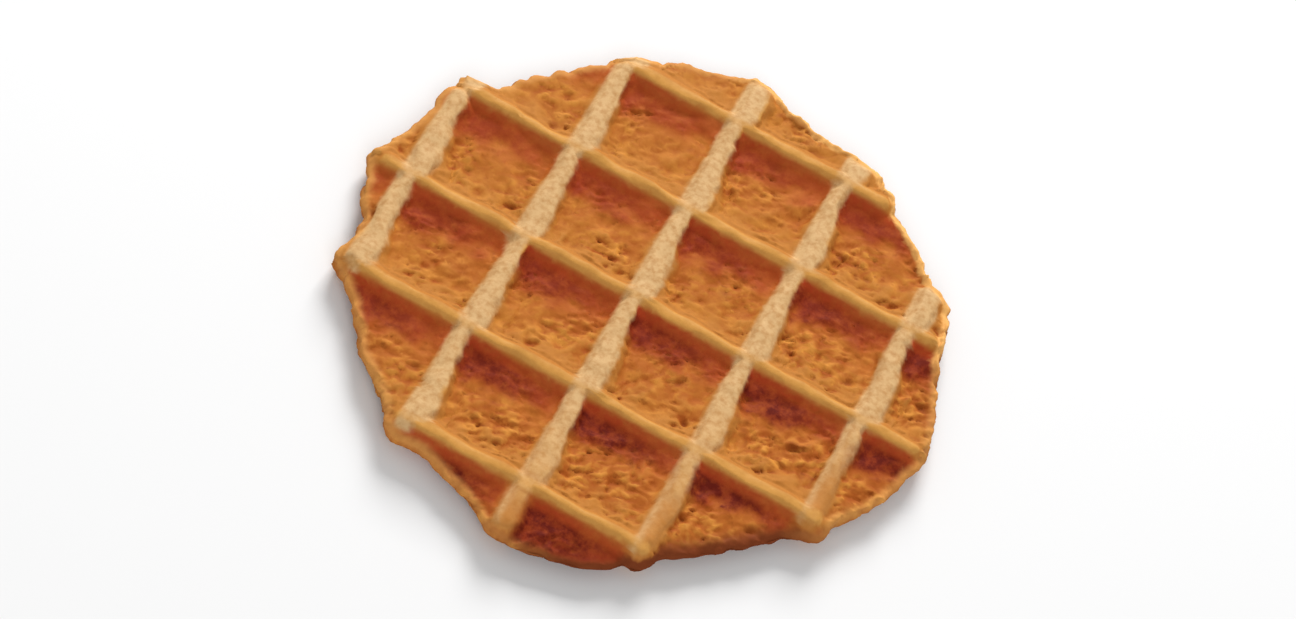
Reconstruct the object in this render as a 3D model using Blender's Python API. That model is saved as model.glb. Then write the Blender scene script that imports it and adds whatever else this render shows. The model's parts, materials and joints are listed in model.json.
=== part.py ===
"""Butter wafer: a thin round biscuit pressed between two gridded irons.

One solid. A thin sheet with a wavy round rim carries the same square grid of
ribs on both faces, and every rib ends rounded, level with the sheet's rim. It
lies flat on the ribs of its underside.

Metres, +Z up. The origin is the middle of the wafer's box, on the surface that
it lies on. The ribs run along X and Y.
"""

import math
import random

import bmesh
import bpy
from mathutils import Vector

MM = 0.001

# Driving dimensions
PITCH = 14.0 * MM  # from rib to rib, both ways
SHEET_THICKNESS = 1.5 * MM
RIB_HEIGHT = 1.2 * MM  # above the sheet, on each face
CREST_WIDTH = 1.2 * MM
FOOT_WIDTH = 3.6 * MM
KNOB_SWELL = 0.1 * MM  # a rib's half width grows this much towards its ends
KNOB_LENGTH = 3.0 * MM  # length over which it grows
RIM_REACH = 0.1 * MM  # the sheet's widest line runs this far outside the rib ends
RIM_TAPER = 0.5 * MM  # the sheet's faces end this far inside its widest line
# The rim's rounded edge: share of the sheet's thickness, share of the taper
RIM_PROFILE = ((0.0, 1.0), (0.2, 0.25), (0.5, 0.0), (0.8, 0.25), (1.0, 1.0))

# A rib's sloping side, from the sheet to the crest
FILLET = 0.25 * MM  # the foot sinks this deep into the sheet and spreads as much
WAIST_HEIGHT = 0.25  # share of the rib's height at the side's bend
WAIST_SPREAD = 0.6  # share of the way from crest to foot at that bend
SHOULDER_HEIGHT = 0.85  # share of the rib's height where the crest begins to round
CREST_ROUNDING = 0.2 * MM

# Where each rib begins and ends, counted in pitches from the middle crossing.
RIBS_ALONG_Y = ((-1.10, 1.03), (-2.14, 2.09), (-2.50, 2.54), (-2.07, 2.33), (-1.15, 1.54))
RIBS_ALONG_X = ((-1.17, 1.15), (-2.10, 2.18), (-2.34, 2.60), (-2.07, 2.33), (-1.08, 1.47))

# How far the rim bends in between neighbouring rib ends, in pitches, from the right hand end of
# the middle rib and counter-clockwise. A negative bend bulges out. Two rib ends that meet at a
# corner of the grid count as one.
RIM_BENDS = (-0.01, -0.05, -0.04, -0.03, 0.04, -0.05, 0.0, 0.0, 0.02, -0.06, 0.03, -0.14, -0.03, -0.07)
CORNER_DISTANCE = 0.3  # rib ends closer than this, in pitches, meet at a corner

# Unevenness of the baked ribs, on the upper face
CREST_WAVE = 0.09 * MM  # up and down
CREST_WANDER = 0.10 * MM  # in half width
WAVE_SEED = 11

# Fineness
KNOB_STEPS = 8  # sides of a rib's half round end
STATIONS_PER_PITCH = 3  # along a rib
RIM_STEPS = 9  # chords from one rib end to the next
SMOOTH_ANGLE = math.radians(38)

THICKNESS = SHEET_THICKNESS + 2 * RIB_HEIGHT
FOOT_HALF = FOOT_WIDTH / 2 + FILLET
MIDDLE_RIB = len(RIBS_ALONG_X) // 2
# The middle crossing's place, which puts the wafer's box in the middle of the frame
MIDDLE_X = -PITCH * sum(RIBS_ALONG_X[MIDDLE_RIB]) / 2
MIDDLE_Y = -PITCH * sum(RIBS_ALONG_Y[MIDDLE_RIB]) / 2

WAFER_COLOUR = (0.58, 0.24, 0.055, 1.0)
WAFER_ROUGHNESS = 0.6


def clear_scene():
    for item in list(bpy.data.objects):
        bpy.data.objects.remove(item, do_unlink=True)


def wafer_material():
    material = bpy.data.materials.new("baked_wafer")
    material.use_nodes = True
    shader = material.node_tree.nodes["Principled BSDF"]
    shader.inputs["Base Color"].default_value = WAFER_COLOUR
    shader.inputs["Roughness"].default_value = WAFER_ROUGHNESS
    shader.inputs["Metallic"].default_value = 0.0
    return material


def half_section():
    """A rib's section from its middle plane up: height above the surface below, half width."""
    sheet_face = THICKNESS - RIB_HEIGHT
    crest = CREST_WIDTH / 2
    waist = crest + WAIST_SPREAD * (FOOT_WIDTH / 2 - crest)
    return (
        (THICKNESS / 2, FOOT_HALF),
        (sheet_face - FILLET, FOOT_HALF),
        (sheet_face + WAIST_HEIGHT * RIB_HEIGHT, waist),
        (sheet_face + SHOULDER_HEIGHT * RIB_HEIGHT, crest),
        (THICKNESS, crest - CREST_ROUNDING),
    )


def section_levels():
    """The whole section, from the lower crest to the upper one."""
    upper = half_section()
    lower = [(THICKNESS - height, width) for height, width in reversed(upper[1:])]
    return lower + list(upper)


def knob_swell(place, start, end):
    """Extra half width near a rib's ends."""
    nearest = min(place - start, end - place)
    share = max(0.0, 1.0 - nearest / KNOB_LENGTH)
    return KNOB_SWELL * share * share * (3 - 2 * share)


def rib_object(name, along_x, row, reach, waves):
    """One rib with both its faces: rings of points at each level of the section, bridged."""
    knob_radius = FOOT_HALF + KNOB_SWELL
    start = reach[0] * PITCH + knob_radius
    end = reach[1] * PITCH - knob_radius
    count = max(2, round((end - start) / PITCH * STATIONS_PER_PITCH))
    places = [start + (end - start) * k / count for k in range(count + 1)]
    lifts = [waves.uniform(-CREST_WAVE, 0.0) for _ in places]
    wanders = [waves.uniform(-CREST_WANDER, CREST_WANDER) for _ in places]

    def to_frame(along, across, height):
        if along_x:
            return Vector((MIDDLE_X + along, MIDDLE_Y + row + across, height))
        return Vector((MIDDLE_X + row - across, MIDDLE_Y + along, height))

    def ring_points(height, width):
        on_upper_crest = height > THICKNESS - RIB_HEIGHT / 2
        on_upper_side = height > THICKNESS / 2
        sides = []
        for place, lift, wander in zip(places, lifts, wanders):
            rise = lift if on_upper_crest else 0.0
            spread = wander if on_upper_side else 0.0
            sides.append((place, width + knob_swell(place, start, end) + spread, height + rise))
        points = [to_frame(place, -half, level) for place, half, level in sides]
        points += knob_points(sides[-1], 1)
        points += [to_frame(place, half, level) for place, half, level in reversed(sides)]
        points += knob_points(sides[0], -1)
        return points

    def knob_points(side, way):
        place, half, level = side
        points = []
        for k in range(1, KNOB_STEPS):
            angle = math.pi * k / KNOB_STEPS
            along = place + way * half * math.sin(angle)
            points.append(to_frame(along, -way * half * math.cos(angle), level))
        return points

    shape = bmesh.new()
    rings = [[shape.verts.new(point) for point in ring_points(*level)] for level in section_levels()]
    for lower, upper in zip(rings, rings[1:]):
        for k, corner in enumerate(lower):
            following = (k + 1) % len(lower)
            shape.faces.new((corner, lower[following], upper[following], upper[k]))
    for ring, upwards in ((rings[0], False), (rings[-1], True)):
        close_crest(shape, ring, len(places), upwards)
    bmesh.ops.recalc_face_normals(shape, faces=shape.faces)
    return mesh_object(name, shape)


def close_crest(shape, ring, stations, upwards):
    """Fills a crest: a quad from station to station and one face at each half round end."""
    right = ring[:stations]
    far_knob = ring[stations : stations + KNOB_STEPS - 1]
    left = ring[stations + KNOB_STEPS - 1 : 2 * stations + KNOB_STEPS - 1][::-1]
    near_knob = ring[2 * stations + KNOB_STEPS - 1 :]
    faces = [(right[k], right[k + 1], left[k + 1], left[k]) for k in range(stations - 1)]
    faces.append((right[-1], *far_knob, left[-1]))
    faces.append((left[0], *near_knob, right[0]))
    for corners in faces:
        shape.faces.new(corners if upwards else tuple(reversed(corners)))


def rib_rows():
    """(along_x, row, reach) of every rib; row is its place across, from the middle crossing."""
    for along_x, ribs in ((True, RIBS_ALONG_X), (False, RIBS_ALONG_Y)):
        for number, reach in enumerate(ribs):
            yield along_x, (number - MIDDLE_RIB) * PITCH, reach


def rim_knots():
    """The rib ends in turn, counter-clockwise, with those that meet at a corner taken as one."""
    ends = []
    for along_x, row, reach in rib_rows():
        for place in reach:
            point = (place * PITCH, row) if along_x else (row, place * PITCH)
            ends.append(Vector(point))
    ends.sort(key=lambda point: math.atan2(point.y, point.x) % math.tau)
    knots = []
    for point in ends:
        if knots and (point - knots[-1]).length < CORNER_DISTANCE * PITCH:
            knots[-1] = (point + knots[-1]) / 2
        else:
            knots.append(point)
    return knots


def rim_loop(steps):
    """The sheet's widest line, seen from above: a shallow arc from each rib end to the next."""
    knots = rim_knots()
    loop = []
    for k, knot in enumerate(knots):
        following = knots[(k + 1) % len(knots)]
        start = knot + knot.normalized() * RIM_REACH
        end = following + following.normalized() * RIM_REACH
        outward = (start + end).normalized()
        rise = -RIM_REACH - RIM_BENDS[k] * PITCH
        for step in range(steps):
            t = step / steps
            loop.append(start.lerp(end, t) + outward * rise * 4 * t * (1 - t))
    return loop


def sheet_object(name):
    """The sheet between the ribs, with a rounded rim."""
    loop = rim_loop(RIM_STEPS)
    middle = Vector((MIDDLE_X, MIDDLE_Y))
    shape = bmesh.new()
    rings = []
    for level, taper in RIM_PROFILE:
        height = RIB_HEIGHT + level * SHEET_THICKNESS
        ring = [middle + point - point.normalized() * taper * RIM_TAPER for point in loop]
        rings.append([shape.verts.new((point.x, point.y, height)) for point in ring])
    for lower, upper in zip(rings, rings[1:]):
        for k, corner in enumerate(lower):
            following = (k + 1) % len(lower)
            shape.faces.new((corner, lower[following], upper[following], upper[k]))
    shape.faces.new(list(reversed(rings[0])))
    shape.faces.new(rings[-1])
    bmesh.ops.recalc_face_normals(shape, faces=shape.faces)
    return mesh_object(name, shape)


def mesh_object(name, shape):
    mesh = bpy.data.meshes.new(name)
    shape.to_mesh(mesh)
    shape.free()
    item = bpy.data.objects.new(name, mesh)
    bpy.context.scene.collection.objects.link(item)
    return item


def join_ribs(sheet, ribs):
    """One Boolean union of the sheet with all the ribs."""
    group = bpy.data.collections.new("ribs")
    for rib in ribs:
        group.objects.link(rib)
    union = sheet.modifiers.new("ribs", "BOOLEAN")
    union.operation = "UNION"
    union.operand_type = "COLLECTION"
    union.collection = group
    union.solver = "EXACT"
    union.use_self = True
    with bpy.context.temp_override(object=sheet):
        bpy.ops.object.modifier_apply(modifier=union.name)
    for rib in ribs:
        bpy.data.objects.remove(rib, do_unlink=True)
    bpy.data.collections.remove(group)


def main():
    clear_scene()
    waves = random.Random(WAVE_SEED)
    wafer = sheet_object("butter_wafer")
    ribs = [
        rib_object(f"rib_{number}", along_x, row, reach, waves)
        for number, (along_x, row, reach) in enumerate(rib_rows())
    ]
    join_ribs(wafer, ribs)
    wafer.data.shade_smooth()
    wafer.data.set_sharp_from_angle(angle=SMOOTH_ANGLE)
    wafer.data.materials.clear()
    wafer.data.materials.append(wafer_material())


main()
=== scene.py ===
import json
import math
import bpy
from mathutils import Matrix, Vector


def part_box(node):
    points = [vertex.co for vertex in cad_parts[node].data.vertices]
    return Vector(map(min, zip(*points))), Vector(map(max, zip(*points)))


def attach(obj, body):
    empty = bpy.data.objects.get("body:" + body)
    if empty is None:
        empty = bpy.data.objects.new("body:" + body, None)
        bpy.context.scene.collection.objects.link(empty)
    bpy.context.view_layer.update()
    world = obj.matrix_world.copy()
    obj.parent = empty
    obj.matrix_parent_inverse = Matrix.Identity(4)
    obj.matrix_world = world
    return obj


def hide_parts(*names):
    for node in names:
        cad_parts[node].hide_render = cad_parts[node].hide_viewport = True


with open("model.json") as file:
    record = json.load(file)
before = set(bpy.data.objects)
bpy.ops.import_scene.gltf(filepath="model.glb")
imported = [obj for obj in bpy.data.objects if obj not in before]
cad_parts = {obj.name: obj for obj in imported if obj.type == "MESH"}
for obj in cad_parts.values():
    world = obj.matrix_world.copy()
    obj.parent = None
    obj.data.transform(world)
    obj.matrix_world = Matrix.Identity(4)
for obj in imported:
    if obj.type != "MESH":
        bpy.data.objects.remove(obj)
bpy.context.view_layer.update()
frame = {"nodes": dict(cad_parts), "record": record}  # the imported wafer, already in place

from types import SimpleNamespace

import bpy
import numpy as np
from mathutils import Quaternion, Vector

mm = 0.001

# The wafer's shape. Lengths are in metres. A pair says where a change begins and where it is
# complete. Places in a cell are shares of the pitch: "across" from the rib on the left, "down"
# from the rib above. "Height" is a share of the ribs' height over the floor.
wafer = {
    "pitch": 14.0 * mm,  # rib to rib, both ways
    "ribHeight": 1.2 * mm,
    "seed": 7,
    # the fine skin
    "grain": 0.22 * mm,  # size of its faces before thinning
    "faces": 190000,  # triangles after thinning
    "softening": 3,  # rounds of smoothing over the ribs' edges
    "softness": 0.5,  # strength of a round
    "floorEnds": (0.10, 0.55),  # height where the floor's relief dies out
    "crestBegins": (0.55, 0.95),  # height where the crests' relief sets in
    "wallEnds": (0.0, 0.5),  # the rim's wall has no relief, as a share of its half height
    # ribs
    "wobble": 0.05 * mm,  # how far rib edges wander sideways
    "wobbleLength": 3.2 * mm,
    "bow": 0.16 * mm,  # slower wandering of whole ribs
    "bowLength": 10.0 * mm,
    "ribSag": 0.08 * mm,  # the crests lie lower between crossings
    "ribWave": 0.04 * mm,
    "endSag": 0.16 * mm,  # ribs along Y sink this much at their lower ends
    "endClear": (0.06, 0.12),  # but not within this share of the pitch from a rib along X
    "endReach": (2.0 * mm, 11.0 * mm),  # the lower ends' length, from the rim
    "endBelow": (-12.0 * mm, 8.0 * mm),  # they lie below this place along Y
    "endRightOf": (-14.0 * mm, -4.0 * mm),  # and right of this place along X
    "broadSide": 0.075,  # ribs along Y grow this much broader to the right, in pitches
    "broadDown": (0.08, 0.85),  # while going down a cell
    "broadEnd": (0.9, 1.0),  # and narrow again before the crossing
    "broadEndShare": 0.3,  # by this share of it
    "sideBegins": (0.0, 0.045),  # the part of a rib's right side that moves, in pitches
    "sideEnds": (0.13, 0.34),
    "ragged": 0.008,  # how far the broad side's edge wanders, in pitches
    "raggedLength": 3.4 * mm,
    # floors
    "floorTilt": 0.35 * mm,  # a cell's floor is lower in its upper left corner
    "tiltAcross": 0.35,  # share of the tilt that goes across, the rest goes down
    "ramp": 0.28 * mm,  # the floor rises this much towards the rib below it
    "rampSpan": (0.08, 0.34),  # within this distance of the rib's middle, in pitches
    "upperRamp": 0.18 * mm,  # and this much towards the rib above it
    "upperRampSpan": (0.08, 0.30),
    "floorWave": 0.07 * mm,
    "floorWaveLength": 4.0 * mm,
    "wrinkle": 0.078 * mm,
    "wrinkleLength": 1.9 * mm,  # the longest of the floor's wrinkles
    "wrinkleStretch": 1.8,
    "wrinkleHeading": math.radians(30),
    "grit": 0.006 * mm,
    "gritLength": 0.5 * mm,
    "smoothFloor": 0.22,  # roughness under the upper rib, against 1 lower down
    "roughBegins": (0.16, 0.42),  # down a cell
    "roughPatches": (0.45, 1.20),  # least and most of the patches' roughness
    "patchLength": 9.0 * mm,
    "patchRise": 40.0 * mm,  # they grow by one spread over this way towards the lower right
    "patchSpan": (-1.5, 1.5),  # in spreads
    "roughSlant": 0.12,  # the roughness begins this much higher at a cell's right
    # pits
    "pores": {
        "count": 240,
        "radius": (0.14 * mm, 0.48 * mm),
        "depth": (0.06 * mm, 0.30 * mm),
        "stretch": 2.0,
        "heading": math.radians(30),
        "gather": True,
    },
    "crestPits": {
        "count": 500,
        "radius": (0.10 * mm, 0.24 * mm),
        "depth": (0.02 * mm, 0.05 * mm),
        "stretch": 1.4,
        "heading": 0.0,
        "gather": False,
    },
    "poreSpread": 36.0 * mm,  # pits lie within this distance of the middle, both ways
    "crowdLength": 7.0 * mm,  # size of the patches where pores gather
    "fissure": 0.26 * mm,  # depth of the torn pits
    "fissureLength": 1.7 * mm,
    "fissureStretch": 1.9,
    "fissureLevel": (1.2, 2.6),  # only the highest of the rough field tears
    "pitsBegin": (0.4 * mm, 1.4 * mm),  # none nearer to the rim
    # rim
    "crumble": 0.13 * mm,  # how far the rim's wall is roughened
    "crumbleLength": 4.0 * mm,
    "crumbleReach": (0.0, 2.0 * mm),  # from the rim inwards
    "crumbleRounds": 3,  # how many fields one turn of the rim passes
    "crumbleLayers": 2.6,  # how much faster it changes up the wall
    "smoothRim": 0.85,  # share of the crumble that the lower rim lacks
    "lowerRim": math.radians(-68),  # direction of the lower rim's middle
    "lowerRimWidth": 0.7,  # in radians
    "rimDrop": 0.45 * mm,  # the surface falls this much towards the lower rim
    "rimDropReach": (0.0, 3.0 * mm),
    "lip": 0.34 * mm,  # height of the raised edge along the upper right rim
    "lipWidth": 0.40 * mm,
    "lipInset": 1.3,  # how far in its ridge lies, in widths
    "lipUneven": 0.35,  # share by which its height varies
    "lipFrom": math.radians(25),
    "lipTo": math.radians(91),
    "lipFade": 0.2,  # in radians
}

random = np.random.default_rng(wafer["seed"])
fieldStep = 0.1 * mm  # the random fields are square grids with this step
fieldHalf = 38.4 * mm
fieldCount = int(round(2 * fieldHalf / fieldStep))

low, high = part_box("butter_wafer")
topHeight = high[2]
sheetTop = topHeight - wafer["ribHeight"]
sheetUnder = low[2] + wafer["ribHeight"]
sheetMiddle = (sheetTop + sheetUnder) / 2
middle = frame["record"]["mounts"][0]["pos_m"][:2]  # the crossing in the middle of the grid


def rising(span, value):
    # 0 before the span, 1 after it, and eased in between
    share = np.clip((value - span[0]) / (span[1] - span[0]), 0.0, 1.0)
    return share * share * (3 - 2 * share)


def falling(span, value):
    return 1 - rising(span, value)


def waveRadius(wavelength, stretch, heading):
    # how many times shorter than the wavelength each wave is, stretched along the heading
    frequency = np.fft.fftfreq(fieldCount, fieldStep)
    fx, fy = np.meshgrid(frequency, frequency)
    along = (fx * math.cos(heading) + fy * math.sin(heading)) * stretch
    across = -fx * math.sin(heading) + fy * math.cos(heading)
    return np.hypot(along, across) * wavelength


def noiseField(wavelength, band=0.4):
    # a seamless random field with waves of one length and a spread of one
    white = np.fft.fft2(random.standard_normal((fieldCount, fieldCount)))
    radius = waveRadius(wavelength, 1.0, 0.0)
    field = np.fft.ifft2(white * np.exp(-((radius - 1.0) ** 2) / (2 * band * band))).real
    return field / field.std()


def roughField(longest, stretch=1.0, heading=0.0, fall=2.0):
    # a seamless random field with finer and finer waves below the longest
    white = np.fft.fft2(random.standard_normal((fieldCount, fieldCount)))
    radius = waveRadius(longest, stretch, heading)
    field = np.fft.ifft2(white * radius / (1 + radius ** (1 + fall))).real
    return field / field.std()


def poreField(pits):
    # round and oval pits, deepest in the middle; some gather in patches and low in the cells
    small, large = pits["radius"]
    shallow, deep = pits["depth"]
    drawn = 2.6  # a pit is drawn out to this many radii
    fewLarge = 2.2  # the higher, the fewer pits are large
    turnSpread = 0.35
    steepness = 1.3  # of a pit's side
    crowded = (-1.2, 1.4)
    lowDown = (0.25, 0.6)
    highShare = 0.2  # how many gather higher up in a cell
    crowding = noiseField(wafer["crowdLength"])
    field = np.zeros((fieldCount, fieldCount))
    reach = int(large * pits["stretch"] * drawn / fieldStep) + 1
    steps = np.arange(-reach, reach + 1) * fieldStep
    gx, gy = np.meshgrid(steps, steps)
    placed = 0
    while placed < pits["count"]:
        x, y = random.uniform(-wafer["poreSpread"], wafer["poreSpread"], 2)
        down = 1.0 - ((y - middle[1]) / wafer["pitch"]) % 1.0  # 0 at a cell's upper edge
        column = int((x + fieldHalf) / fieldStep)
        row = int((y + fieldHalf) / fieldStep)
        likely = rising(crowded, crowding[row, column])
        likely = likely * (highShare + (1 - highShare) * rising(lowDown, down))
        if pits["gather"] and random.random() > likely:
            continue
        placed += 1
        size = small + (large - small) * random.random() ** fewLarge
        depth = shallow + (deep - shallow) * (size - small) / (large - small)
        turn = pits["heading"] + random.normal(0, turnSpread)
        length = size * random.uniform(1.0, pits["stretch"])
        along = gx * math.cos(turn) + gy * math.sin(turn)
        across = -gx * math.sin(turn) + gy * math.cos(turn)
        pit = depth * np.exp(-((along / length) ** 2 + (across / size) ** 2) ** steepness)
        part = field[row - reach : row + reach + 1, column - reach : column + reach + 1]
        if part.shape == pit.shape:
            np.maximum(part, pit, out=part)
    return field


def fissureField():
    # irregular torn pits where a rough field runs high
    longest, stretch = wafer["fissureLength"], wafer["fissureStretch"]
    field = roughField(longest, stretch, wafer["wrinkleHeading"], fall=1.5)
    return wafer["fissure"] * rising(wafer["fissureLevel"], field)


def makeFields():
    longest, stretch = wafer["wrinkleLength"], wafer["wrinkleStretch"]
    return {
        "broad": noiseField(wafer["floorWaveLength"]),
        "wrinkle": roughField(longest, stretch, wafer["wrinkleHeading"], fall=1.9),
        "grit": noiseField(wafer["gritLength"]),
        "wobbleX": noiseField(wafer["wobbleLength"]),
        "wobbleY": noiseField(wafer["wobbleLength"]),
        "bowX": noiseField(wafer["bowLength"]),
        "bowY": noiseField(wafer["bowLength"]),
        "crumble": roughField(wafer["crumbleLength"], fall=2.5),
        "ragged": roughField(wafer["raggedLength"], fall=2.5),
        "rough": noiseField(wafer["patchLength"]),
        "pores": poreField(wafer["pores"]),
        "fissures": fissureField(),
        "crestPits": poreField(wafer["crestPits"]),
    }


def sample(field, x, y):
    # the field's value at each place; the fields repeat without a seam
    u = ((x + fieldHalf) / fieldStep) % fieldCount
    v = ((y + fieldHalf) / fieldStep) % fieldCount
    i, j = u.astype(int) % fieldCount, v.astype(int) % fieldCount
    a, b = u - np.floor(u), v - np.floor(v)
    right, over = (i + 1) % fieldCount, (j + 1) % fieldCount
    near = field[j, i] * (1 - a) + field[j, right] * a
    far = field[over, i] * (1 - a) + field[over, right] * a
    return near * (1 - b) + far * b


def applyModifiers(piece):
    depsgraph = bpy.context.evaluated_depsgraph_get()
    shaped = bpy.data.meshes.new_from_object(piece.evaluated_get(depsgraph))
    piece.modifiers.clear()
    piece.data = shaped


def coordinates(mesh):
    flat = np.empty(len(mesh.vertices) * 3, np.float32)
    mesh.vertices.foreach_get("co", flat)
    return flat.reshape(-1, 3).astype(float)


def setCoordinates(mesh, points):
    mesh.vertices.foreach_set("co", points.astype(np.float32).ravel())
    mesh.update()


def rimRadius(angle, radius):
    # the wafer's outermost radius in each point's direction
    slots = 720
    slot = ((angle + math.pi) / math.tau * slots).astype(int) % slots
    outer = np.zeros(slots)
    np.maximum.at(outer, slot, radius)
    centres = (np.arange(slots) + 0.5) / slots * math.tau - math.pi
    return np.interp(angle, centres, outer, period=math.tau)


def lowerEnd(x, y, fromRim):
    # one at the lower ends of the ribs along Y, but for the two on the left
    end = falling(wafer["endReach"], fromRim) * falling(wafer["endBelow"], y)
    return end * rising(wafer["endRightOf"], x)


def survey(mesh):
    # where each point of the surface lies: in the grid, above the floor and from the rim
    x, y, z = coordinates(mesh).T
    u = (x - middle[0]) / wafer["pitch"]
    v = (y - middle[1]) / wafer["pitch"]
    onTop = z > sheetMiddle
    angle = np.arctan2(y, x)
    radius = np.hypot(x, y)
    fromRim = rimRadius(angle, radius) - radius
    return SimpleNamespace(
        x=x,
        y=y,
        z=z,
        right=u - np.round(u),  # of the nearest rib along Y, in pitches
        above=v - np.round(v),  # the nearest rib along X, in pitches
        across=u - np.floor(u),
        fallen=np.ceil(v) - v,  # 0 just under a rib along X, 1 just above the next
        onTop=onTop,
        rise=np.where(onTop, z - sheetTop, sheetUnder - z) / wafer["ribHeight"],
        angle=angle,
        fromRim=fromRim,
        end=lowerEnd(x, y, fromRim),
    )


def ribEdge(at, fields):
    # how far the right edge of a rib along Y lies out, in pitches; broader down the cell
    broaden = wafer["broadSide"] * rising(wafer["broadDown"], at.fallen)
    broaden = broaden * (1 - wafer["broadEndShare"] * rising(wafer["broadEnd"], at.fallen))
    return broaden + wafer["ragged"] * sample(fields["ragged"], at.x, at.y)


def lowerRim(angle):
    # one along the middle of the lower rim, none along the rest
    return np.exp(-((angle - wafer["lowerRim"]) / wafer["lowerRimWidth"]) ** 2)


def lipShare(angle):
    begins = (wafer["lipFrom"] - wafer["lipFade"], wafer["lipFrom"])
    ends = (wafer["lipTo"], wafer["lipTo"] + wafer["lipFade"])
    return rising(begins, angle) * falling(ends, angle)


def roughShare(at, fields):
    # how rough a cell's floor is: smooth under the rib above it, rougher lower down
    least, most = wafer["roughPatches"]
    patch = sample(fields["rough"], at.x, at.y) + (at.x - at.y) / wafer["patchRise"]
    patches = least + (most - least) * rising(wafer["patchSpan"], patch)
    lowDown = rising(wafer["roughBegins"], at.fallen + wafer["roughSlant"] * at.across)
    return patches * (wafer["smoothFloor"] + (1 - wafer["smoothFloor"]) * lowDown)


def pitDepth(at, fields):
    pits = sample(fields["pores"], at.x, at.y) + sample(fields["fissures"], at.x, at.y)
    return roughShare(at, fields) * pits * rising(wafer["pitsBegin"], at.fromRim)


def floorRelief(at, fields):
    # how far the floors lie above the plain sheet
    x, y = at.x, at.y
    tiltDown = 1 - wafer["tiltAcross"]
    lift = wafer["floorTilt"] * (wafer["tiltAcross"] * at.across + tiltDown * at.fallen - 0.5)
    lift += wafer["ramp"] * falling(wafer["rampSpan"], at.above) * (at.above > 0)
    lift += wafer["upperRamp"] * falling(wafer["upperRampSpan"], -at.above) * (at.above < 0)
    lift += wafer["floorWave"] * sample(fields["broad"], x, y)
    rough = roughShare(at, fields)
    lift += rough * wafer["wrinkle"] * sample(fields["wrinkle"], x, y)
    lift += rough * wafer["grit"] * sample(fields["grit"], x, y)
    lift -= pitDepth(at, fields)
    ridge = np.exp(-((at.fromRim / wafer["lipWidth"] - wafer["lipInset"]) ** 2))
    uneven = 1 + wafer["lipUneven"] * sample(fields["broad"], y, x)
    lift += wafer["lip"] * lipShare(at.angle) * ridge * uneven
    lift -= wafer["rimDrop"] * lowerRim(at.angle) * falling(wafer["rimDropReach"], at.fromRim)
    return lift


def crestRelief(at, fields):
    # how far the crests lie above plain ribs
    aside = 5.0 * mm  # so that the crests don't follow the floors
    nearest = np.maximum(np.abs(at.right), np.abs(at.above))
    lift = wafer["ribWave"] * sample(fields["broad"], at.x + aside, at.y)
    lift -= wafer["ribSag"] * np.sin(np.pi * nearest) ** 2
    lift += wafer["grit"] * sample(fields["grit"], at.x, at.y)
    lift -= sample(fields["crestPits"], at.x, at.y)
    lift -= wafer["endSag"] * at.end * rising(wafer["endClear"], np.abs(at.above))
    return lift


def shapeWafer(piece, fields):
    at = survey(piece.data)
    floorShare = falling(wafer["floorEnds"], at.rise)
    crestShare = rising(wafer["crestBegins"], at.rise)
    fromMiddle = np.abs(at.z - sheetMiddle) / (sheetTop - sheetMiddle)
    outward = np.where(at.onTop, 1.0, -1.0) * rising(wafer["wallEnds"], fromMiddle)
    relief = floorShare * floorRelief(at, fields) + crestShare * crestRelief(at, fields)
    z = at.z + outward * relief

    reachOut = rising(wafer["sideBegins"], at.right) * falling(wafer["sideEnds"], at.right)
    x = at.x + ribEdge(at, fields) * wafer["pitch"] * reachOut * (1 - at.end)
    shiftX = wafer["wobble"] * sample(fields["wobbleX"], x, at.y)
    shiftX += wafer["bow"] * sample(fields["bowX"], x, at.y)
    shiftY = wafer["wobble"] * sample(fields["wobbleY"], x, at.y)
    shiftY += wafer["bow"] * sample(fields["bowY"], x, at.y)

    # a roughened rim, smoother along its lower side
    turn = at.angle / math.pi * wafer["crumbleRounds"] * fieldHalf
    crumble = sample(fields["crumble"], turn, wafer["crumbleLayers"] * z)
    push = falling(wafer["crumbleReach"], at.fromRim) * wafer["crumble"]
    push = push * (1 - wafer["smoothRim"] * lowerRim(at.angle)) * crumble
    x = x + shiftX + push * np.cos(at.angle)
    y = at.y + shiftY + push * np.sin(at.angle)
    z = np.maximum(z, low[2])  # flat where it stands
    setCoordinates(piece.data, np.stack([x, y, z], 1))


def fineWafer():
    source = frame["nodes"]["butter_wafer"]
    piece = bpy.data.objects.new("crisp_wafer", source.data.copy())
    bpy.context.scene.collection.objects.link(piece)
    skin = piece.modifiers.new("skin", "REMESH")
    skin.mode = "VOXEL"
    skin.voxel_size = wafer["grain"]
    soften = piece.modifiers.new("soften", "SMOOTH")
    soften.factor = wafer["softness"]
    soften.iterations = wafer["softening"]
    applyModifiers(piece)
    return piece


def triangleCount(mesh):
    return sum(len(face.vertices) - 2 for face in mesh.polygons)


def thinWafer(piece):
    triangles = triangleCount(piece.data)
    thin = piece.modifiers.new("thin", "DECIMATE")
    thin.ratio = min(1.0, wafer["faces"] / triangles)
    applyModifiers(piece)
    print("wafer:", triangles, "triangles thinned to", triangleCount(piece.data))


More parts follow.
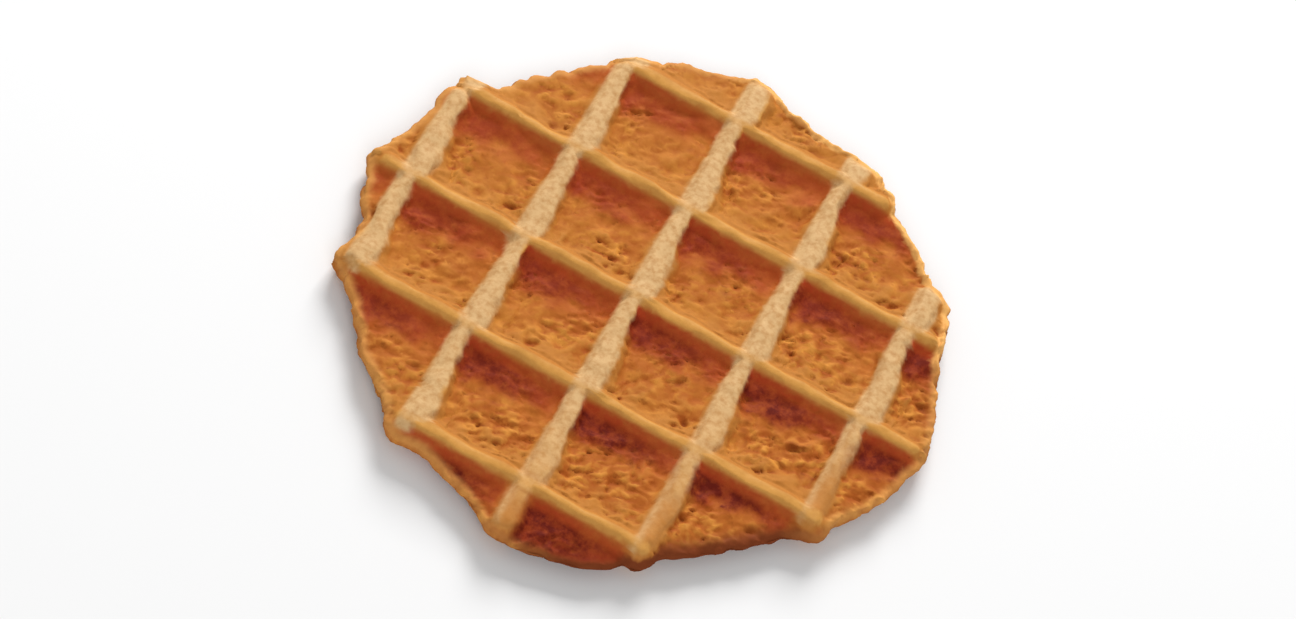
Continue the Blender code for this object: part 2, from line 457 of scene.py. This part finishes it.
# Where the crust changes colour and where painted shade, sheen and highlights lie on it, in pitches
# where no unit or note stands; pairs as in the wafer's shape
browningAndPaintedLight = {
    "flank": (0.05, 0.40),  # height
    # bright crests along X, from above to below their middle, partly the ribs' paler crust and partly
    # painted highlight
    "lineTop": (0.020, 0.055),
    "lineBottom": (-0.082, -0.060),
    "lineHeight": (0.45, 0.65),
    # crests along Y, bright away from the crossings
    "crestHeight": (0.75, 0.92),
    "crestClear": 0.1,
    "crestDim": 0.8,  # share lost at the lower ends
    # the pale side of the ribs along Y, partly paler crust and partly painted sheen
    "paleLeft": (-0.105, -0.070),
    "paleEdge": 0.050,  # its right edge, before the rib grows broader
    "paleFade": (-0.008, 0.030),  # from that edge
    "paleHeight": (0.15, 0.5),
    "paleCrossing": 0.58,  # how pale it stays on the crossings
    "crossing": (0.015, 0.055),  # away from the crossing
    "crossingShift": 0.010,  # the dimmed crossing lies this much lower
    "endBare": 0.85,  # share lost at the lower ends
    "endSide": (-0.075, -0.01),
    "tawny": 0.32,  # share lost near the lower rim
    "tawnyReach": (8.0 * mm, 20.0 * mm),  # from the rim
    "tawnyBelow": (-14.0 * mm, 0.0),  # along Y
    # dark hollows under the ribs along X, partly browning and partly painted shade: how far down they
    # reach
    "hollow": 0.49,
    "hollowSlant": 0.12,  # less at the cell's right
    "hollowUneven": 0.035,
    "hollowWrinkle": 0.030,
    "lowestBegins": (-28.5 * mm, -29.5 * mm),  # along Y: below the lowest rib they reach
    "lowestHollow": 0.26,  # this much further
    "shortBelow": (-15.0 * mm, -19.0 * mm),  # along Y: in the lower right cells they are
    "shortRightOf": (13.0 * mm, 19.0 * mm),  # along X
    "shortHollow": 0.12,  # this much shorter
    "cornerFade": (-0.20, 0.04),  # from the reach
    "cornerBegins": (0.040, 0.084),
    "cornerHeight": (0.70, 0.90),
    "cornerEndSide": (0.05, 0.16),
    "cornerRim": (0.3 * mm, 1.2 * mm),  # from the rim
    "cornerSlant": 0.35,
    "cornerLeast": 0.86,  # in the upper left cells
    "cornerDusk": (0.0, 0.5),
    # their darkest part, painted shade, strongest at the cell's left and in the lower right cells
    "deepBegins": (0.10, 0.17),
    "deepFade": (-0.16, 0.02),  # from the reach
    "deepSlant": (0.35, 1.10),
    "deepLeast": 0.24,
    "deepGain": 0.70,
    "deepStrength": 1.5,
    "duskLength": 60.0 * mm,  # the way over which they grow darker
    "duskAcross": 0.6,
    "duskDown": 0.8,
    "duskPower": 1.5,
    # floors, lighter and more golden down each cell and towards the upper left, partly the crust's
    # tone and partly painted light
    "golden": (0.45, 1.0),  # down a cell
    "goldenLength": 140.0 * mm,  # also more golden towards the upper left, over this way
    # the wrinkles bring painted shade in their hollows and painted highlight on their tops
    "reliefGain": 0.22,  # colour that one spread of the wrinkles brings
    # the pores' dark colour is painted shade
    "poreHeight": (0.1, 0.5),  # no dark pores above this height
    # rim, by direction: painted shade along the lower rim, a browner far wall, and painted highlight
    # on the lip and edge
    "lowerShadeFrom": (math.radians(-98), math.radians(-80)),
    "lowerShadeTo": (math.radians(-38), math.radians(-22)),
    "farFrom": (math.radians(-5), math.radians(25)),
    "farTo": (math.radians(150), math.radians(175)),
    "rimReach": (0.5 * mm, 2.6 * mm),
    "rimLeast": 0.1,  # how dark the rest of the rim is
    "wallShare": 0.5,  # how dark the far rim's wall is
    "wallTop": (-0.8 * mm, -0.2 * mm),  # from the sheet's upper face
    "lipReach": (0.9 * mm, 1.3 * mm),
    "lipHeight": (-0.25, 0.0),
    # the pale edge away from the lip is painted highlight
    "edgeHighlightReach": (0.4 * mm, 1.4 * mm),
    "edgeHighlightShare": 0.42,  # how pale the edge is away from the lip
}


def ribMasks(at, fields):
    # the crests along X are bright from their middle to their lower edge, partly the ribs' paler crust
    # and partly painted highlight
    line = rising(browningAndPaintedLight["lineBottom"], at.above) * falling(browningAndPaintedLight["lineTop"], at.above)
    line *= rising(browningAndPaintedLight["lineHeight"], at.rise)
    ridge = rising(browningAndPaintedLight["crestHeight"], at.rise) * (np.abs(at.above) > browningAndPaintedLight["crestClear"])
    crest = np.maximum(line, ridge * (1 - browningAndPaintedLight["crestDim"] * at.end))

    # ribs along Y are pale, partly paler crust and partly painted sheen, less so at their lower ends
    edge = browningAndPaintedLight["paleEdge"] + ribEdge(at, fields)
    fadeFrom, fadeTo = browningAndPaintedLight["paleFade"]
    band = rising(browningAndPaintedLight["paleLeft"], at.right) * falling((edge + fadeFrom, edge + fadeTo), at.right)
    clear = rising(browningAndPaintedLight["crossing"], np.abs(at.above + browningAndPaintedLight["crossingShift"]))
    onCrossing = browningAndPaintedLight["paleCrossing"]
    paleAndSheen = band * rising(browningAndPaintedLight["paleHeight"], at.rise) * (onCrossing + (1 - onCrossing) * clear)
    paleAndSheen *= 1 - browningAndPaintedLight["endBare"] * at.end * rising(browningAndPaintedLight["endSide"], at.right)
    tawny = falling(browningAndPaintedLight["tawnyReach"], at.fromRim) * falling(browningAndPaintedLight["tawnyBelow"], at.y)
    paleAndSheen *= 1 - browningAndPaintedLight["tawny"] * tawny * rising(wafer["endRightOf"], at.x)
    return crest, paleAndSheen


def hollowMasks(at, fields):
    # dark hollows under the ribs along X, partly browning and partly painted shade, deepest at their
    # left
    reach = browningAndPaintedLight["hollow"] - browningAndPaintedLight["hollowSlant"] * at.across
    reach += browningAndPaintedLight["hollowUneven"] * sample(fields["broad"], at.x, at.y)
    reach += browningAndPaintedLight["hollowWrinkle"] * sample(fields["wrinkle"], at.x, at.y)
    lowest = rising(browningAndPaintedLight["lowestBegins"], at.y)
    reach += browningAndPaintedLight["lowestHollow"] * lowest * (1 - at.across) ** 2
    short = rising(browningAndPaintedLight["shortRightOf"], at.x) * rising(browningAndPaintedLight["shortBelow"], at.y)
    reach -= browningAndPaintedLight["shortHollow"] * short

    fadeFrom, fadeTo = browningAndPaintedLight["cornerFade"]
    corner = falling((reach + fadeFrom, reach + fadeTo), at.fallen)
    corner *= rising(browningAndPaintedLight["cornerBegins"], at.fallen)
    corner *= falling(browningAndPaintedLight["cornerHeight"], at.rise)
    corner *= 1 - at.end * falling(browningAndPaintedLight["cornerEndSide"], np.abs(at.right))
    corner *= rising(browningAndPaintedLight["cornerRim"], at.fromRim)

    fadeFrom, fadeTo = browningAndPaintedLight["deepFade"]
    deep = rising(browningAndPaintedLight["deepBegins"], at.fallen)
    deep *= falling((reach + fadeFrom, reach + fadeTo), at.fallen)
    deep *= falling(browningAndPaintedLight["deepSlant"], at.across)
    # the painted shade grows darker towards the lower right
    slope = browningAndPaintedLight["duskAcross"] * at.x - browningAndPaintedLight["duskDown"] * at.y
    dusk = np.clip(0.5 + slope / browningAndPaintedLight["duskLength"], 0, 1)  # one towards the lower right
    deep *= browningAndPaintedLight["deepLeast"] + browningAndPaintedLight["deepGain"] * dusk ** browningAndPaintedLight["duskPower"]
    least = browningAndPaintedLight["cornerLeast"]
    corner *= least + (1 - least) * rising(browningAndPaintedLight["cornerDusk"], dusk)
    deep = np.clip(browningAndPaintedLight["deepStrength"] * deep * corner, 0, 1)
    return corner * (1 - browningAndPaintedLight["cornerSlant"] * at.across), deep


def rimMasks(at, side):
    # painted shade along the lower rim and a browner far wall, a pale raised lip at the upper right,
    # partly paler crust and partly painted highlight, and a painted highlight along the edge elsewhere
    lowerRimShade = rising(browningAndPaintedLight["lowerShadeFrom"], at.angle) * falling(browningAndPaintedLight["lowerShadeTo"], at.angle)
    far = rising(browningAndPaintedLight["farFrom"], at.angle) * falling(browningAndPaintedLight["farTo"], at.angle)
    wallFrom, wallTo = browningAndPaintedLight["wallTop"]
    farWall = falling((sheetTop + wallFrom, sheetTop + wallTo), at.z) * far
    rim = falling(browningAndPaintedLight["rimReach"], at.fromRim) * (1 - side)
    least = browningAndPaintedLight["rimLeast"]
    rim *= np.maximum(least + (1 - least) * lowerRimShade, browningAndPaintedLight["wallShare"] * farWall)
    lip = lipShare(at.angle) * falling(browningAndPaintedLight["lipReach"], at.fromRim)
    lip = lip * rising(browningAndPaintedLight["lipHeight"], at.rise) * at.onTop
    edge = (1 - lowerRimShade) * falling(browningAndPaintedLight["edgeHighlightReach"], at.fromRim) * (1 - farWall)
    edge = browningAndPaintedLight["edgeHighlightShare"] * edge * rising((sheetUnder, sheetTop), at.z)
    return rim, np.maximum(lip, edge)


def writeMasks(piece, fields):
    at = survey(piece.data)
    side = rising(browningAndPaintedLight["flank"], at.rise)
    crest, paleAndSheen = ribMasks(at, fields)
    corner, deep = hollowMasks(at, fields)
    rim, lip = rimMasks(at, side)
    golden = rising(browningAndPaintedLight["golden"], at.fallen) + (at.y - at.x) / browningAndPaintedLight["goldenLength"]
    poreShade = np.clip(pitDepth(at, fields) / wafer["pores"]["depth"][1], 0, 1)
    wrinkle = roughShare(at, fields) * sample(fields["wrinkle"], at.x, at.y)
    # several of these masks place painted shade, sheen and highlights: the crest line, the pale ribs,
    # the pores, the relief, the rim, the lip and edge and the hollows
    masks = {
        "flank": side,
        "crest": crest,
        "paleAndSheen": paleAndSheen,
        "poreShade": poreShade * falling(browningAndPaintedLight["poreHeight"], at.rise),
        "relief": np.clip(0.5 + browningAndPaintedLight["reliefGain"] * wrinkle, 0, 1),
        "rim": rim,
        "lip": lip,
        "corner": corner,
        "deep": deep,
        "golden": np.clip(golden, 0, 1),
    }
    for name, values in masks.items():
        layer = piece.data.attributes.new(name, "FLOAT", "POINT")
        layer.data.foreach_set("value", values.astype(np.float32))


# The crust's colours as linear red, green and blue, and its grain; several of them are painted shade,
# sheen and highlights
crust = {
    "floor": (0.47, 0.143, 0.023),
    # lighter and more golden down each cell and towards the upper left, partly the crust's tone and
    # partly painted light
    "floorGolden": (0.52, 0.203, 0.031),
    # painted highlight on the wrinkles' tops
    "floorHighlight": (0.66, 0.268, 0.046),
    # darker tone at random, and painted shade in the wrinkles' hollows
    "floorDarkAndShade": (0.36, 0.086, 0.012),
    # the hollows under the ribs along X, partly browning and partly painted shade
    "corner": (0.405, 0.046, 0.013),
    # the hollows' darkest part, painted shade
    "deep": (0.130, 0.012, 0.006),
    "flank": (0.49, 0.190, 0.036),
    # the crests' colour; the bright line along X is partly painted highlight
    "rib": (0.61, 0.293, 0.068),
    # ribs along Y, partly paler crust and partly painted sheen, with darker specks
    "paleAndSheen": (0.67, 0.425, 0.195),
    "paleSpeck": (0.50, 0.255, 0.090),
    # painted shade in the pits
    "poreShade": (0.24, 0.050, 0.006),
    # painted shade along the lower rim, and a browner wall along the far rim
    "rim": (0.20, 0.046, 0.014),
    # the raised lip, partly paler crust and partly painted highlight, and a painted highlight along
    # the edge elsewhere
    "lip": (0.85, 0.440, 0.130),
    "dust": (0.90, 0.87, 0.84),  # the finest grain multiplies the colour by this
    "clean": (1.0, 1.0, 1.0),  # or by this
    # noises: scale, detail and roughness
    "mottleNoise": (230, 4, 0.55),
    "grainNoise": (850, 5, 0.65),
    "speckNoise": (1300, 4, 0.55),
    "dustNoise": (1500, 3, 0.55),
    "bumpNoise": (2600, 3, 0.55),
    # the span of a noise or a mask that counts, and the shares it is spread over
    "mottle": ((0.42, 0.68), (0.0, 0.5)),
    "speck": ((0.42, 0.68), (0.0, 0.78)),
    "dusting": ((0.3, 0.7), (0.0, 1.0)),
    "sunkenShade": ((0.5, 0.1), (0.0, 1.0)),
    "raised": ((0.5, 0.95), (0.0, 1.0)),
    "cornerGrain": ((0.42, 0.66), (1.0, 0.80)),
    "deepGrain": ((0.40, 0.62), (1.0, 0.50)),
    "bumpStrength": 0.3,
    "bumpHeight": 0.08 * mm,
    "floorRoughness": 0.62,
    "ribRoughness": 0.45,
    "shine": 0.04,
}


def waferMaterial():
    material = bpy.data.materials.new("bakedCrust")
    material.use_nodes = True
    tree = material.node_tree
    shader = tree.nodes["Principled BSDF"]

    def node(kind, **settings):
        made = tree.nodes.new(kind)
        for name, value in settings.items():
            setattr(made, name, value)
        return made

    def plug(socket, value):
        if isinstance(value, bpy.types.NodeSocket):
            tree.links.new(value, socket)
        elif isinstance(value, tuple):
            socket.default_value = (*value, 1.0)
        else:
            socket.default_value = value

    def mask(name):
        return node("ShaderNodeAttribute", attribute_name=name).outputs["Fac"]

    def mixColour(share, first, second, blend="MIX"):
        made = node("ShaderNodeMix", data_type="RGBA", blend_type=blend)
        plug(made.inputs["Factor"], share)
        plug(made.inputs["A"], first)
        plug(made.inputs["B"], second)
        return made.outputs["Result"]

    def remap(value, span, shares):
        made = node("ShaderNodeMapRange")
        plug(made.inputs["Value"], value)
        names = ("From Min", "From Max", "To Min", "To Max")
        for name, number in zip(names, (*span, *shares)):
            made.inputs[name].default_value = number
        return made.outputs["Result"]

    def times(first, second):
        made = node("ShaderNodeMath", operation="MULTIPLY")
        plug(made.inputs[0], first)
        plug(made.inputs[1], second)
        return made.outputs["Value"]

    def noise(settings):
        made = node("ShaderNodeTexNoise")
        plug(made.inputs["Vector"], place)
        for name, number in zip(("Scale", "Detail", "Roughness"), settings):
            made.inputs[name].default_value = number
        return made.outputs["Fac"]

    place = node("ShaderNodeTexCoord").outputs["Object"]
    mottle = remap(noise(crust["mottleNoise"]), *crust["mottle"])
    grainy = noise(crust["grainNoise"])
    speck = remap(noise(crust["speckNoise"]), *crust["speck"])
    dust = remap(noise(crust["dustNoise"]), *crust["dusting"])
    sunkenShade = remap(mask("relief"), *crust["sunkenShade"])
    raised = remap(mask("relief"), *crust["raised"])
    # grain across the hollows' painted shade
    corner = times(mask("corner"), remap(grainy, *crust["cornerGrain"]))
    deep = times(mask("deep"), remap(grainy, *crust["deepGrain"]))

    # floors first, then what covers them
    # floors lighter and more golden down each cell, partly painted light
    base = mixColour(mask("golden"), crust["floor"], crust["floorGolden"])
    base = mixColour(mottle, base, crust["floorDarkAndShade"])
    # painted shade in the wrinkles' hollows, then painted highlight on their tops
    base = mixColour(sunkenShade, base, crust["floorDarkAndShade"])
    base = mixColour(raised, base, crust["floorHighlight"])
    # painted shade along the lower rim, and a browner far wall
    base = mixColour(mask("rim"), base, crust["rim"])
    base = mixColour(mask("flank"), base, crust["flank"])
    # the crests, whose bright line along X is partly painted highlight
    base = mixColour(mask("crest"), base, crust["rib"])
    # the hollows under the ribs along X, partly browning and partly painted shade
    base = mixColour(corner, base, crust["corner"])
    # the hollows' darkest part, painted shade
    base = mixColour(deep, base, crust["deep"])
    # pale ribs along Y, partly paler crust and partly painted sheen
    base = mixColour(mask("paleAndSheen"), base, mixColour(speck, crust["paleAndSheen"], crust["paleSpeck"]))
    # the lip, partly painted highlight, and a painted highlight along the edge
    base = mixColour(mask("lip"), base, crust["lip"])
    # painted shade in the pits
    base = mixColour(mask("poreShade"), base, crust["poreShade"])
    base = mixColour(1.0, base, mixColour(dust, crust["dust"], crust["clean"]), "MULTIPLY")
    plug(shader.inputs["Base Color"], base)
    shader.inputs["Specular IOR Level"].default_value = crust["shine"]
    roughness = (crust["floorRoughness"], crust["ribRoughness"])
    plug(shader.inputs["Roughness"], remap(mask("crest"), (0.0, 1.0), roughness))

    bump = node("ShaderNodeBump")
    bump.inputs["Strength"].default_value = crust["bumpStrength"]
    bump.inputs["Distance"].default_value = crust["bumpHeight"]
    plug(bump.inputs["Height"], noise(crust["bumpNoise"]))
    plug(shader.inputs["Normal"], bump.outputs["Normal"])
    return material


floorLook = {"size": 3.0, "colour": (0.80, 0.80, 0.80), "roughness": 0.6}


def addFloor():
    half = floorLook["size"] / 2
    mesh = bpy.data.meshes.new("floor")
    corners = [(-half, -half, 0), (half, -half, 0), (half, half, 0), (-half, half, 0)]
    mesh.from_pydata(corners, [], [(0, 1, 2, 3)])
    item = bpy.data.objects.new("floor", mesh)
    bpy.context.scene.collection.objects.link(item)
    material = bpy.data.materials.new("paleFloor")
    material.use_nodes = True
    shader = material.node_tree.nodes["Principled BSDF"]
    shader.inputs["Base Color"].default_value = (*floorLook["colour"], 1.0)
    shader.inputs["Roughness"].default_value = floorLook["roughness"]
    mesh.materials.append(material)


def direction(azimuth, elevation):
    azimuth, elevation = math.radians(azimuth), math.radians(elevation)
    flat = math.cos(elevation)
    return Vector((math.cos(azimuth) * flat, math.sin(azimuth) * flat, math.sin(elevation)))


def aim(item, away, turn=0.0):
    # looks back along the direction, turned about it by some degrees
    facing = (-away).to_track_quat("-Z", "Y")
    item.rotation_mode = "QUATERNION"
    item.rotation_quaternion = facing @ Quaternion((0, 0, 1), math.radians(turn))


lights = {
    "key": {
        "azimuth": 102.0,
        "elevation": 29.0,
        "distance": 1.2,
        "size": (0.60, 0.46),
        "watts": 17.0,
    },
    "front": {
        "azimuth": -70.0,
        "elevation": 40.0,
        "distance": 1.2,
        "size": (0.8, 0.8),
        "watts": 5.0,
    },
    "fill": 0.45,  # even light from all round
}


def addLights():
    for name in ("key", "front"):
        softbox = lights[name]
        lamp = bpy.data.lights.new(name, "AREA")
        lamp.shape = "RECTANGLE"
        lamp.size, lamp.size_y = softbox["size"]
        lamp.energy = softbox["watts"]
        item = bpy.data.objects.new(name, lamp)
        bpy.context.scene.collection.objects.link(item)
        away = direction(softbox["azimuth"], softbox["elevation"])
        item.location = away * softbox["distance"]
        aim(item, away)
    world = bpy.data.worlds.new("studio")
    world.use_nodes = True
    sky = world.node_tree.nodes["Background"]
    sky.inputs["Color"].default_value = (1.0, 1.0, 1.0, 1.0)
    sky.inputs["Strength"].default_value = lights["fill"]
    bpy.context.scene.world = world
    print("lights set")


camera = {
    "azimuth": -86.7,
    "elevation": 54.1,
    "roll": 26.1,
    "distance": 0.4521,
    "lens": 115.0,
    "nearest": 0.01,  # what is nearer isn't shown
}


def addCamera():
    lens = bpy.data.cameras.new("camera")
    lens.lens = camera["lens"]
    lens.clip_start = camera["nearest"]
    item = bpy.data.objects.new("camera", lens)
    bpy.context.scene.collection.objects.link(item)
    away = direction(camera["azimuth"], camera["elevation"])
    item.location = Vector((0, 0, topHeight / 2)) + away * camera["distance"]
    aim(item, away, camera["roll"])
    bpy.context.scene.camera = item
    print("camera set")


fields = makeFields()
print("relief fields made")

piece = fineWafer()
shapeWafer(piece, fields)
thinWafer(piece)
writeMasks(piece, fields)
piece.data.shade_smooth()
piece.data.materials.clear()
piece.data.materials.append(waferMaterial())
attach(piece, "root")
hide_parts("butter_wafer")
print("wafer shaped")

addFloor()
addLights()
addCamera()
bpy.context.scene.view_settings.view_transform = "Standard"
